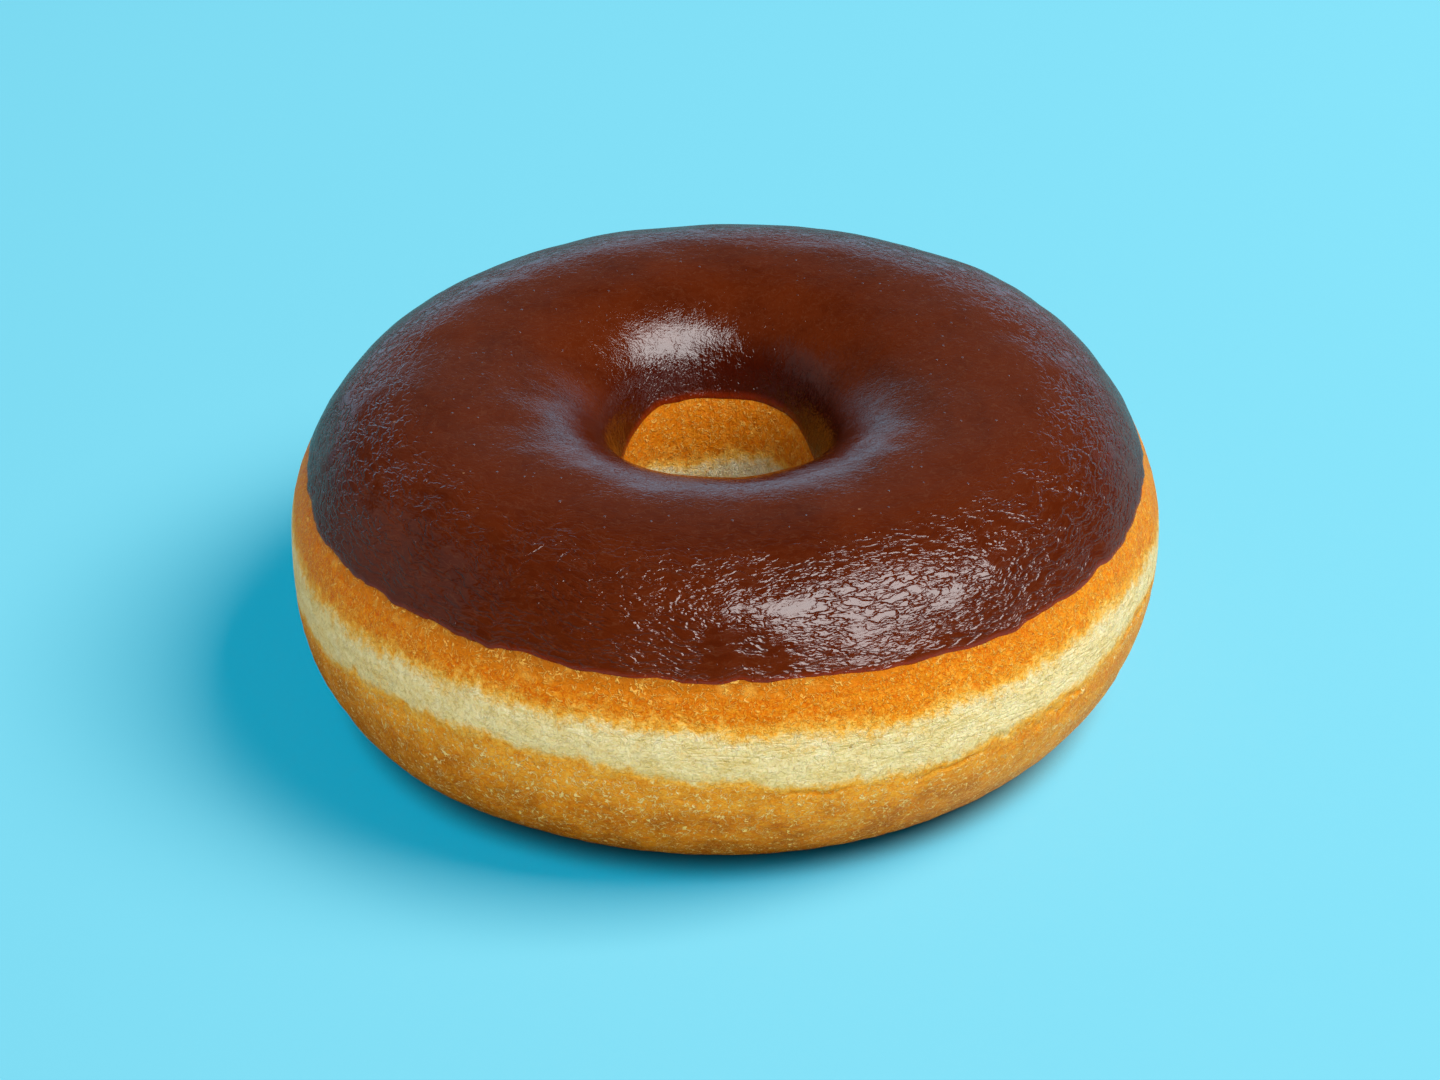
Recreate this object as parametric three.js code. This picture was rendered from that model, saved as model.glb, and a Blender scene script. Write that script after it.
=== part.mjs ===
// A ring doughnut in millimetres, +Z up. The origin is on the surface that the doughnut rests on, under
// the middle of the ring. It is two pieces: the fried ring of yeast dough, and the coat of chocolate glaze
// that its top was dipped in, which laps over the outer shoulder and a little way down into the hole.
import * as THREE from "three";
import { ParametricGeometry } from "three/addons/geometries/ParametricGeometry.js";

// The dough. Its section is one rounded outline, widest at the pale waist where the two fried halves meet.
const RING_DIAMETER = 92; // across the waist
const HOLE_DIAMETER = 21.6; // at the narrowest, level with the waist
const WAIST_HEIGHT = 17.5; // above the surface it rests on
const CROWN_RISE = 15; // from the waist to the top of the bare dough
const CREST_INSET = 0.7; // how much nearer to the hole than midway the top of the ring is
const FOOT_SAG = 1.5; // how much of the round underside its own weight has pressed flat

// How full each quarter of the section is: 2 is an ellipse, and more is squarer.
const FULLNESS = {
  outerCrown: 2.1,
  outerBase: 2.45,
  holeCrown: 2.3,
  holeBase: 2.15,
};

// The glaze. It keeps its thickness nearly to its edges, and ends in a rounded lip.
const GLAZE_THICKNESS = 1.2; // on the crown
const GLAZE_SEAT_GAP = 0.3; // left between the two solids, which touch on the real thing
const OUTER_EDGE_RISE = 7.5; // from the waist up to the glaze's edge on the outside
const HOLE_EDGE_RISE = 4.9; // from the waist up to the glaze's edge in the hole
const LIP_SHARPNESS = 0.35; // nearer 0, the glaze keeps its thickness closer to its edges

// Hand-cut, proofed dough is never a true ring. Each wave runs round the ring, and its depth is in
// millimetres at its crest.
const DOUGH_SWELLS = [
  { waves: 1, depth: 0.24, turned: 0.6 },
  { waves: 2, depth: 0.22, turned: -0.9 },
  { waves: 3, depth: 0.2, turned: 1.9 },
];
const OUTER_EDGE_WAVES = [
  { waves: 2, depth: 0.42, turned: 3.84 },
  { waves: 7, depth: 0.1, turned: 2.3 },
  { waves: 11, depth: 0.08, turned: 2.3 },
];
const HOLE_EDGE_WAVES = [
  { waves: 1, depth: 1.5, turned: -1.64 },
  { waves: 3, depth: 0.12, turned: 0.3 },
  { waves: 5, depth: 0.1, turned: 1.9 },
];

// The finishes.
const FRIED_DOUGH = { color: 0xd9983f, roughness: 0.75, metalness: 0 };
const CHOCOLATE_GLAZE = { color: 0x4a1d0e, roughness: 0.3, metalness: 0 };

// How finely the surfaces are cut into flats.
const STEPS_ROUND_RING = 72;
const STEPS_ROUND_DOUGH = 32;
const STEPS_ROUND_GLAZE = 34;

const FULL_TURN = 2 * Math.PI;
const ringRadius = RING_DIAMETER / 2;
const holeRadius = HOLE_DIAMETER / 2;
const crestRadius = (ringRadius + holeRadius) / 2 - CREST_INSET;

/** Raises a number to a power and keeps its sign. */
function signedPower(value, power) {
  return Math.sign(value) * Math.abs(value) ** power;
}

/** The sum of some waves at an angle round the ring. */
function waveAt(waves, angle) {
  return waves.reduce(
    (sum, wave) => sum + wave.depth * Math.cos(wave.waves * angle + wave.turned),
    0,
  );
}

/**
 * The quarter of the dough's section that a turn falls in. The turn starts at the outside of the waist
 * and goes up over the crown, down the hole and back under. The foot is not yet pressed flat.
 */
function sectionQuarter(turn) {
  const outside = Math.cos(turn) >= 0;
  const above = Math.sin(turn) >= 0;
  const crown = outside ? FULLNESS.outerCrown : FULLNESS.holeCrown;
  const base = outside ? FULLNESS.outerBase : FULLNESS.holeBase;
  return {
    width: outside ? ringRadius - crestRadius : crestRadius - holeRadius,
    height: above ? CROWN_RISE : WAIST_HEIGHT + FOOT_SAG,
    fullness: above ? crown : base,
  };
}

/** The point of the dough's section at a turn: x is out from the axis, and y is up. */
function sectionPoint(turn) {
  const { width, height, fullness } = sectionQuarter(turn);
  return new THREE.Vector2(
    crestRadius + width * signedPower(Math.cos(turn), 2 / fullness),
    WAIST_HEIGHT + height * signedPower(Math.sin(turn), 2 / fullness),
  );
}

/** The direction that the dough's section faces at a turn. */
function sectionNormal(turn) {
  const { width, height, fullness } = sectionQuarter(turn);
  const steepness = 2 - 2 / fullness;
  return new THREE.Vector2(
    signedPower(Math.cos(turn), steepness) / width,
    signedPower(Math.sin(turn), steepness) / height,
  ).normalize();
}

/** The turn, from the waist up, at which a quarter of that fullness has risen so far. */
function turnAtRise(rise, fullness) {
  return Math.asin((rise / CROWN_RISE) ** (fullness / 2));
}

/** Carries a point of the section to its angle round the ring, and swells the ring there as it proofed. */
function placeOnRing(section, angle, target) {
  const outward = (section.x - holeRadius) / (ringRadius - holeRadius);
  const radius = section.x + outward * waveAt(DOUGH_SWELLS, angle);
  return target.set(
    radius * Math.cos(angle),
    radius * Math.sin(angle),
    section.y,
  );
}

/** The dough ring's surface: along goes round the ring, and across goes round the section. */
function doughSurface(along, across, target) {
  const section = sectionPoint(FULL_TURN * across);
  section.y = Math.max(section.y, 0);
  placeOnRing(section, FULL_TURN * along, target);
}

/**
 * The glaze's surface. Along goes round the ring. Across goes from the outer edge over the shiny side to
 * the edge in the hole, and back along the side that sits on the dough.
 */
function glazeSurface(along, across, target) {
  const angle = FULL_TURN * along;
  const loop = FULL_TURN * across;
  const outerRise = OUTER_EDGE_RISE + waveAt(OUTER_EDGE_WAVES, angle);
  const holeRise = HOLE_EDGE_RISE + waveAt(HOLE_EDGE_WAVES, angle);
  const turn = THREE.MathUtils.lerp(
    turnAtRise(outerRise, FULLNESS.outerCrown),
    Math.PI - turnAtRise(holeRise, FULLNESS.holeCrown),
    (1 - Math.cos(loop)) / 2,
  );
  const thickness =
    GLAZE_THICKNESS * Math.max(Math.sin(loop), 0) ** LIP_SHARPNESS;
  const section = sectionPoint(turn).addScaledVector(
    sectionNormal(turn),
    GLAZE_SEAT_GAP + thickness,
  );
  placeOnRing(section, angle, target);
}

/** A closed ring of surface as a named mesh with its own finish. */
function ringMesh(name, surface, stepsAcross, finish) {
  const mesh = new THREE.Mesh(
    new ParametricGeometry(surface, STEPS_ROUND_RING, stepsAcross),
    new THREE.MeshStandardMaterial(finish),
  );
  mesh.name = name;
  return mesh;
}

const doughnut = new THREE.Group();
doughnut.add(
  ringMesh("dough_ring", doughSurface, STEPS_ROUND_DOUGH, FRIED_DOUGH),
  ringMesh("chocolate_glaze", glazeSurface, STEPS_ROUND_GLAZE, CHOCOLATE_GLAZE),
);

export default doughnut;
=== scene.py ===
"""A ring doughnut with a chocolate glaze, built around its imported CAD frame.

The dough ring and the glaze share one form, a rounded section swept round a ring, so the glaze always lies on the
dough. Each piece adds its own fine relief to that form, and carries what its finish needs as mesh attributes.
Lengths are in metres, and are written as millimetres times MM.
"""

import itertools
import logging
import math
from dataclasses import astuple, dataclass, field
from enum import Enum

import bpy
import numpy as np
from mathutils import Matrix, Vector

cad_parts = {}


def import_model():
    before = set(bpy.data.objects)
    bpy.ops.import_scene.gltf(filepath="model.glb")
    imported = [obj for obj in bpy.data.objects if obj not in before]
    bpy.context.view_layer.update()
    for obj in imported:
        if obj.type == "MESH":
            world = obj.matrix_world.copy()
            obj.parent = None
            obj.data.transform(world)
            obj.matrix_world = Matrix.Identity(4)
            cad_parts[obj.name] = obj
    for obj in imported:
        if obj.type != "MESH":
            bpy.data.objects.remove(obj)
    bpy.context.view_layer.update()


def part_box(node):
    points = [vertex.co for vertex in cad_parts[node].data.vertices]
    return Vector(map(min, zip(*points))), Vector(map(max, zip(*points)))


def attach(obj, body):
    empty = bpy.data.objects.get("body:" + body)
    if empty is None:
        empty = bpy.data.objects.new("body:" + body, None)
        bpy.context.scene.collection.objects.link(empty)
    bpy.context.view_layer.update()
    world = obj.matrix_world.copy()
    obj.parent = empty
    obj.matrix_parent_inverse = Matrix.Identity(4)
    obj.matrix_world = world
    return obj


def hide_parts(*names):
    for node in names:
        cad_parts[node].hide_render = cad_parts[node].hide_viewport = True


MM = 0.001
FULL_TURN = 2 * math.pi
SECTION_STEPS = 4000
LOG = logging.getLogger("doughnut")

Array = np.ndarray
Colour = tuple[float, float, float]
Socket = bpy.types.NodeSocket


class Node(Enum):
    """The CAD nodes that the pieces stand for."""

    DOUGH = "dough_ring"
    GLAZE = "chocolate_glaze"


class Slot(Enum):
    """The record's material slots."""

    DOUGH = "fried_dough"
    GLAZE = "chocolate_glaze"


class Trait(Enum):
    """What the meshes carry for their finishes, as attributes."""

    PALENESS = "paleness"
    BROWNING = "browning"
    THINNESS = "thinness"
    SHOULDER = "shoulder"
    # oil stain near the glaze, with painted shade on the front-left side and in the hole
    OIL_AND_SHADE = "oil_and_shade"
    INNER = "inner"
    RING_WAY = "ring_way"


# Shapes in numbers


def ease(low: float, high: float, value: Array) -> Array:
    """Rises smoothly from 0 at low to 1 at high.

    Args:
        low: where the rise starts.
        high: where the rise ends.
        value: the places asked for.

    Returns:
        The share of the rise at each place.
    """
    share = np.clip((value - low) / (high - low), 0.0, 1.0)
    return share * share * (3.0 - 2.0 * share)


def signed_power(value: Array, power: Array | float) -> Array:
    """Raises each number to a power and keeps its sign."""
    return np.sign(value) * np.abs(value) ** power


class SmoothNoise:
    """Seeded noise in space, smooth, and between about -1 and 1."""

    TABLE = 256
    GAIN = 1.6
    LAYER_SHIFT = 31.7

    def __init__(self, seed: int) -> None:
        """Draws the noise's slopes.

        Args:
            seed: picks the pattern, which is the same each time.
        """
        draw = np.random.default_rng(seed)
        slopes = draw.normal(size=(self.TABLE, 3))
        self.slopes = slopes / np.linalg.norm(slopes, axis=1, keepdims=True)
        self.order = np.tile(draw.permutation(self.TABLE), 3)

    def at(self, points: Array, size: float) -> Array:
        """The noise at some points.

        Args:
            points: places in space, with x, y and z last.
            size: the width of one hump.

        Returns:
            One number for each point.
        """
        scaled = points / size
        corner = np.floor(scaled).astype(int)
        inside = scaled - corner
        fade = inside**3 * (inside * (inside * 6.0 - 15.0) + 10.0)
        total = np.zeros(points.shape[:-1])
        for step in itertools.product((0, 1), repeat=3):
            cell = (corner + step) % self.TABLE
            row = self.order[self.order[cell[..., 0]] + cell[..., 1]]
            slope = self.slopes[self.order[row + cell[..., 2]]]
            share = np.prod(np.where(step, fade, 1.0 - fade), axis=-1)
            total += share * np.sum(slope * (inside - step), axis=-1)
        return self.GAIN * total

    def layered(self, points: Array, size: float, layers: int) -> Array:
        """Noise with finer noise on it, each layer half as wide and half as deep.

        Args:
            points: places in space, with x, y and z last.
            size: the width of the broadest humps.
            layers: how many layers there are.

        Returns:
            One number for each point.
        """
        return sum(self.at(points + self.LAYER_SHIFT * size * k, size / 2**k) / 2**k for k in range(layers))


@dataclass(frozen=True)
class Grain:
    """Unevenness of one kind: its width and depth, its layers of ever finer noise, and a shift of its pattern."""

    width: float
    depth: float
    layers: int = 1
    shift: float = 0.0

    def at(self, noise: SmoothNoise, points: Array) -> Array:
        """How far it lifts each point."""
        return self.depth * noise.layered(points + self.shift, self.width, self.layers)


@dataclass(frozen=True)
class Step:
    """A smooth step: where it starts and ends, and how much it adds."""

    start: float
    end: float
    amount: float = 1.0

    def at(self, value: Array) -> Array:
        """How much the step adds at each value."""
        return self.amount * ease(self.start, self.end, value)


@dataclass(frozen=True)
class Wave:
    """A wave that runs round the ring."""

    count: int
    depth: float
    turned: float

    def at(self, angle: Array) -> Array:
        """How far the wave stands out at each angle."""
        return self.depth * np.cos(self.count * angle + self.turned)


def waves_at(waves: tuple[Wave, ...], angle: Array) -> Array:
    """The sum of some waves at each angle round the ring."""
    return sum(wave.at(angle) for wave in waves)


@dataclass(frozen=True)
class Bulge:
    """A soft swelling, or a hollow where its depth is negative, centred somewhere on the ring's section."""

    bearing: float
    spread: float
    turn: float
    reach: float
    depth: float

    def at(self, angle: Array, turn: Array) -> Array:
        """How far the bulge lifts the surface.

        Args:
            angle: round the ring, in radians.
            turn: round the section, in radians.

        Returns:
            The lift at each place.
        """
        round_ring = np.angle(np.exp(1j * (angle - math.radians(self.bearing)))) / math.radians(self.spread)
        round_section = np.angle(np.exp(1j * (turn - math.radians(self.turn)))) / math.radians(self.reach)
        return self.depth * np.exp(-(round_ring**2) - round_section**2)


@dataclass(frozen=True)
class Fullness:
    """How full each quarter of the section is: 2 is an ellipse, and more is squarer."""

    outer_crown: float = 2.1
    outer_base: float = 2.45
    hole_crown: float = 2.3
    hole_base: float = 2.15


@dataclass(frozen=True)
class RingForm:
    """The ring's form: a rounded section about its crest, swept round the ring.

    A turn goes round the section from the outside of the waist, up over the crown, down the hole and back under.
    """

    ring_radius: float
    crown_height: float
    hole_radius: float = 10.8 * MM
    waist_share: float = 0.5385
    crest_inset: float = 0.7 * MM
    foot_sag: float = 1.5 * MM
    fullness: Fullness = field(default_factory=Fullness)
    swells: tuple[Wave, ...] = (
        Wave(1, 0.24 * MM, 0.6),
        Wave(2, 0.22 * MM, -0.9),
        Wave(3, 0.2 * MM, 1.9),
    )
    bulges: tuple[Bulge, ...] = (
        Bulge(bearing=33, spread=26, turn=38, reach=42, depth=0.8 * MM),
        Bulge(bearing=178, spread=24, turn=8, reach=38, depth=-0.3 * MM),
        Bulge(bearing=-135, spread=30, turn=-38, reach=34, depth=0.6 * MM),
        Bulge(bearing=-35, spread=24, turn=-40, reach=34, depth=-0.25 * MM),
        Bulge(bearing=-82, spread=34, turn=-48, reach=34, depth=-0.75 * MM),
        Bulge(bearing=110, spread=34, turn=20, reach=40, depth=0.2 * MM),
        Bulge(bearing=15, spread=40, turn=165, reach=50, depth=0.7 * MM),
        Bulge(bearing=-85, spread=55, turn=150, reach=45, depth=0.5 * MM),
    )
    lumps: Grain = Grain(15 * MM, 0.18 * MM)
    dimples: Grain = Grain(5 * MM, 0.07 * MM, shift=1.0)
    firmness: Step = Step(0.0, 6 * MM)
    noise: SmoothNoise = field(default_factory=lambda: SmoothNoise(11))

    @classmethod
    def from_frame(cls) -> "RingForm":
        """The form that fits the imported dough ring.

        Returns:
            A form with the frame's own radius and height.
        """
        low, high = (Vector(corner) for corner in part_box(Node.DOUGH.value))
        return cls(ring_radius=(high.x - low.x + high.y - low.y) / 4, crown_height=high.z)

    @property
    def waist_height(self) -> float:
        """How high the waist is above the resting surface."""
        return self.crown_height * self.waist_share

    @property
    def crest_radius(self) -> float:
        """How far the top of the ring is from the axis."""
        return (self.ring_radius + self.hole_radius) / 2 - self.crest_inset

    def _quarter(self, turn: Array) -> tuple[Array, Array, Array]:
        """The section's quarter at each turn.

        Args:
            turn: round the section, in radians.

        Returns:
            Its width, height and fullness.
        """
        outside = np.cos(turn) >= 0
        above = np.sin(turn) >= 0
        width = np.where(outside, self.ring_radius - self.crest_radius, self.crest_radius - self.hole_radius)
        crown_rise = self.crown_height - self.waist_height
        height = np.where(above, crown_rise, self.waist_height + self.foot_sag)
        crown = np.where(outside, self.fullness.outer_crown, self.fullness.hole_crown)
        base = np.where(outside, self.fullness.outer_base, self.fullness.hole_base)
        return width, height, np.where(above, crown, base)

    def section(self, turn: Array) -> Array:
        """The section's points before the foot is pressed flat.

        Args:
            turn: round the section, in radians.

        Returns:
            The distance from the axis and the height of each point.
        """
        width, height, fullness = self._quarter(turn)
        out = self.crest_radius + width * signed_power(np.cos(turn), 2 / fullness)
        up = self.waist_height + height * signed_power(np.sin(turn), 2 / fullness)
        return np.stack([out, up], axis=-1)

    def facing(self, turn: Array) -> Array:
        """The direction that the section faces.

        Args:
            turn: round the section, in radians.

        Returns:
            Unit vectors, out from the axis and up.
        """
        width, height, fullness = self._quarter(turn)
        steepness = 2 - 2 / fullness
        out = signed_power(np.cos(turn), steepness) / width
        up = signed_power(np.sin(turn), steepness) / height
        way = np.stack([out, up], axis=-1)
        return way / np.linalg.norm(way, axis=-1, keepdims=True)

    def turn_at_rise(self, rise: Array, in_hole: bool) -> Array:
        """The turn at which the crown has risen so far above the waist.

        Args:
            rise: the height above the waist.
            in_hole: whether the side in the hole is meant, and not the outer side.

        Returns:
            The turn of each rise, in radians.
        """
        fullness = self.fullness.hole_crown if in_hole else self.fullness.outer_crown
        share = rise / (self.crown_height - self.waist_height)
        turn = np.arcsin(np.clip(share, 0, 1) ** (fullness / 2))
        return math.pi - turn if in_hole else turn

    def surface(self, angle: Array, turn: Array, lift: Array | float) -> Array:
        """The ring's surface, lumpy as proofed dough is, or a skin lifted off it.

        Args:
            angle: round the ring, in radians.
            turn: round the section, in radians.
            lift: how far the skin stands off the dough.

        Returns:
            Points in space.
        """
        section = self.section(turn)
        facing = self.facing(turn)
        plain = self._spin(section, angle)
        uneven = self.lumps.at(self.noise, plain) + self.dimples.at(self.noise, plain)
        uneven = uneven + sum(bulge.at(angle, turn) for bulge in self.bulges)
        raised = lift + uneven * self.firmness.at(section[..., 1])
        section = section + facing * raised[..., None]
        outward = (section[..., 0] - self.hole_radius) / (self.ring_radius - self.hole_radius)
        section[..., 0] += outward * waves_at(self.swells, angle)
        return self._spin(section, angle)

    def along(self, angle: Array, climb: Array) -> Array:
        """Places that run along the ring, for a pattern that follows it."""
        return self._spin(np.stack([np.full_like(angle, self.crest_radius), climb], axis=-1), angle)

    @staticmethod
    def _spin(section: Array, angle: Array) -> Array:
        """Carries points of the section round to their angles."""
        out, up = section[..., 0], section[..., 1]
        return np.stack([out * np.cos(angle), out * np.sin(angle), up], axis=-1)


def spaced_turns(form: RingForm, start: float, end: float, count: int, closeness: Array | None = None) -> Array:
    """Turns that are evenly far apart along the section, or closer where that is asked for.

    Args:
        form: the ring's form.
        start: the first turn.
        end: where the turns stop, which is left out.
        count: how many turns there are.
        closeness: how many times closer they are, at evenly spaced turns from the start to the end.

    Returns:
        The turns, in radians.
    """
    fine = np.linspace(start, end, SECTION_STEPS + 1)
    way = form.section(fine)
    way[:, 1] = np.maximum(way[:, 1], 0.0)
    step = np.linalg.norm(np.diff(way, axis=0), axis=1)
    if closeness is not None:
        step = step * np.interp(fine[1:], np.linspace(start, end, len(closeness)), closeness)
    length = np.concatenate([[0.0], np.cumsum(step)])
    return np.interp(np.arange(count) / count * length[-1], length, fine)


def climb_from_waist(form: RingForm, turn: Array) -> Array:
    """How far up the skin each turn is from the waist of its own side, negative below it.

    Args:
        form: the ring's form.
        turn: round the section, in radians, between a full turn either way from the outside of the waist.

    Returns:
        The distance along the skin.
    """
    fine = np.linspace(-FULL_TURN, FULL_TURN, 2 * SECTION_STEPS + 1)
    way = form.section(fine)
    length = np.concatenate([[0.0], np.cumsum(np.linalg.norm(np.diff(way, axis=0), axis=1))])
    along = np.interp(turn, fine, length)
    before, outer, after = np.interp([-math.pi, 0.0, math.pi], fine, length)
    hole = np.where(turn < 0, before, after)
    return np.where(np.cos(turn) < 0, hole - along, along - outer)


def ring_mesh(name: str, points: Array, traits: dict[Trait, Array]) -> bpy.types.Object:
    """A closed ring of surface, as a smooth mesh.

    Args:
        name: the new piece's name.
        points: a grid of points that closes on itself, round the ring first and round the section second.
        traits: the attributes of each point.

    Returns:
        The new object, in the scene.
    """
    round_ring, round_section = points.shape[:2]
    near = np.arange(round_ring)[:, None] * round_section + np.arange(round_section)[None]
    far = np.roll(near, -1, axis=0)
    faces = np.stack([near, far, np.roll(far, -1, axis=1), np.roll(near, -1, axis=1)], axis=-1).reshape(-1, 4)
    mesh = bpy.data.meshes.new(name)
    mesh.from_pydata(points.reshape(-1, 3).tolist(), [], faces.tolist())
    for trait, values in traits.items():
        is_vector = values.ndim == 3
        layer = mesh.attributes.new(trait.value, "FLOAT_VECTOR" if is_vector else "FLOAT", "POINT")
        layer.data.foreach_set("vector" if is_vector else "value", values.astype(np.float32).ravel())
    mesh.polygons.foreach_set("use_smooth", np.ones(len(faces), dtype=bool))
    mesh.update()
    piece = bpy.data.objects.new(name, mesh)
    bpy.context.scene.collection.objects.link(piece)
    return piece


# Shader nodes


@dataclass(frozen=True)
class Noise:
    """Sizes of shader noise: how wide its broadest humps are, its detail, its roughness and its twist."""

    width: float
    detail: float
    roughness: float = 0.5
    twist: float = 0.0


@dataclass(frozen=True)
class Wrinkles:
    """Sizes of wrinkles: how wide a cell is, and in cells how far creases bend and how wide they are.

    Bare is roughly the share of the surface without creases.
    """

    width: float
    wander: float
    crease: float
    bare: float = 0.5


@dataclass(frozen=True)
class Flecks:
    """Sizes of flecks: how far apart they could be, the share that is there, and their radius in spacings."""

    spacing: float
    share: float
    radius: float


@dataclass(frozen=True)
class Mottle:
    """Sizes of mottling: how wide its broad patches are, and its fine patches and the threads' curls."""

    broad: float
    fine: float


class Shade:
    """A node tree with short calls to add nodes and links."""

    def __init__(self, tree: bpy.types.NodeTree) -> None:
        """Works in a tree.

        Args:
            tree: a material's tree or a group's.
        """
        self.tree = tree

    def add(self, kind: str, inputs: dict[str | int, object] | None = None, **settings: object) -> bpy.types.Node:
        """Adds a node.

        Args:
            kind: the node's type.
            inputs: what goes into its inputs: a socket, a number, a colour or a vector.
            settings: the node's own settings.

        Returns:
            The new node.
        """
        node = self.tree.nodes.new(kind)
        for setting, value in settings.items():
            setattr(node, setting, value)
        for key, value in (inputs or {}).items():
            self.feed(node.inputs[key], value)
        return node

    def feed(self, socket: Socket, value: object) -> None:
        """Links a socket to another, or sets its value.

        Args:
            socket: the input.
            value: an output socket, a number, a colour or a vector.
        """
        if isinstance(value, Socket):
            self.tree.links.new(value, socket)
            return
        if socket.type == "RGBA" and isinstance(value, tuple):
            value = (*value, 1.0)
        socket.default_value = value

    def math(self, operation: str, *values: object) -> Socket:
        """The result of a sum on one, two or three values."""
        node = self.add("ShaderNodeMath", dict(enumerate(values)), operation=operation)
        return node.outputs[0]

    def ramp(self, value: object, low: float, high: float, start: float = 0.0, end: float = 1.0) -> Socket:
        """A value eased from start to end while the input goes from low to high."""
        node = self.add(
            "ShaderNodeMapRange",
            {"Value": value, "From Min": low, "From Max": high, "To Min": start, "To Max": end},
            interpolation_type="SMOOTHSTEP",
        )
        return node.outputs["Result"]

    def mix(self, share: object, first: object, second: object) -> Socket:
        """Mixes two colours.

        Args:
            share: how much of the second there is, from 0 to 1.
            first: the colour at 0.
            second: the colour at 1.

        Returns:
            The mixed colour.
        """
        node = self.add("ShaderNodeMix", data_type="RGBA")
        sockets = {socket.identifier: socket for socket in node.inputs}
        self.feed(sockets["Factor_Float"], share)
        self.feed(sockets["A_Color"], first)
        self.feed(sockets["B_Color"], second)
        return next(socket for socket in node.outputs if socket.identifier == "Result_Color")

    def times(self, first: object, second: object) -> Socket:
        """One value times another."""
        return self.math("MULTIPLY", first, second)

    def tint(self, under: object, over: object, mask: object, strength: float) -> Socket:
        """A colour with another laid over it, as strongly as a mask times a strength says."""
        return self.mix(self.times(mask, strength), under, over)

    def noise(self, where: object, size: Noise) -> Socket:
        """Adds noise.

        Args:
            where: places on the surface.
            size: the noise's sizes.

        Returns:
            Numbers from 0 to 1.
        """
        settings = {"Detail": size.detail, "Roughness": size.roughness, "Distortion": size.twist}
        node = self.add("ShaderNodeTexNoise", {"Vector": where, "Scale": 1 / size.width, **settings})
        return node.outputs["Fac"]

    def trait(self, trait: Trait) -> Socket:
        """One of the mesh's attributes."""
        node = self.add("ShaderNodeAttribute", attribute_type="GEOMETRY", attribute_name=trait.value)
        return node.outputs["Vector" if trait is Trait.RING_WAY else "Fac"]

    def squeezed(self, where: object, around: float, down: float = 1.0) -> Socket:
        """Places squeezed around the ring and down the section, so that a pattern there is drawn out."""
        return self.add("ShaderNodeMapping", {"Vector": where, "Scale": (around, around, down)}).outputs["Vector"]

    def heights(self, *layers: tuple[object, object]) -> Socket:
        """Adds reliefs up.

        Args:
            layers: each a mask and the height that it has where it is 1.

        Returns:
            The sum of the masks, each times its height.
        """
        (mask, height), *others = layers
        total = self.times(mask, height)
        for mask, height in others:
            total = self.math("MULTIPLY_ADD", mask, height, total)
        return total

    def emboss(self, shader: bpy.types.Node, height: Socket) -> None:
        """Gives a shader's surface a relief of that height."""
        bump = self.add("ShaderNodeBump", {"Height": height, "Strength": 1.0, "Distance": 1.0})
        self.feed(shader.inputs["Normal"], bump.outputs["Normal"])


@dataclass(frozen=True)
class Input:
    """An input of a node group."""

    name: str
    kind: str = "NodeSocketFloat"
    value: float | None = None


def new_group(
    name: str, inputs: tuple[Input, ...], outputs: tuple[str, ...]
) -> tuple[Shade, bpy.types.Node, bpy.types.Node]:
    """An empty node group with named inputs, and outputs that are plain numbers.

    Args:
        name: the group's name.
        inputs: its inputs.
        outputs: the names of its outputs.

    Returns:
        The group's tree, its input node and its output node.
    """
    tree = bpy.data.node_groups.new(name, "ShaderNodeTree")
    for entry in inputs:
        socket = tree.interface.new_socket(entry.name, in_out="INPUT", socket_type=entry.kind)
        if entry.value is not None:
            socket.default_value = entry.value
    for output in outputs:
        tree.interface.new_socket(output, in_out="OUTPUT", socket_type="NodeSocketFloat")
    shade = Shade(tree)
    return shade, shade.add("NodeGroupInput"), shade.add("NodeGroupOutput")


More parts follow.
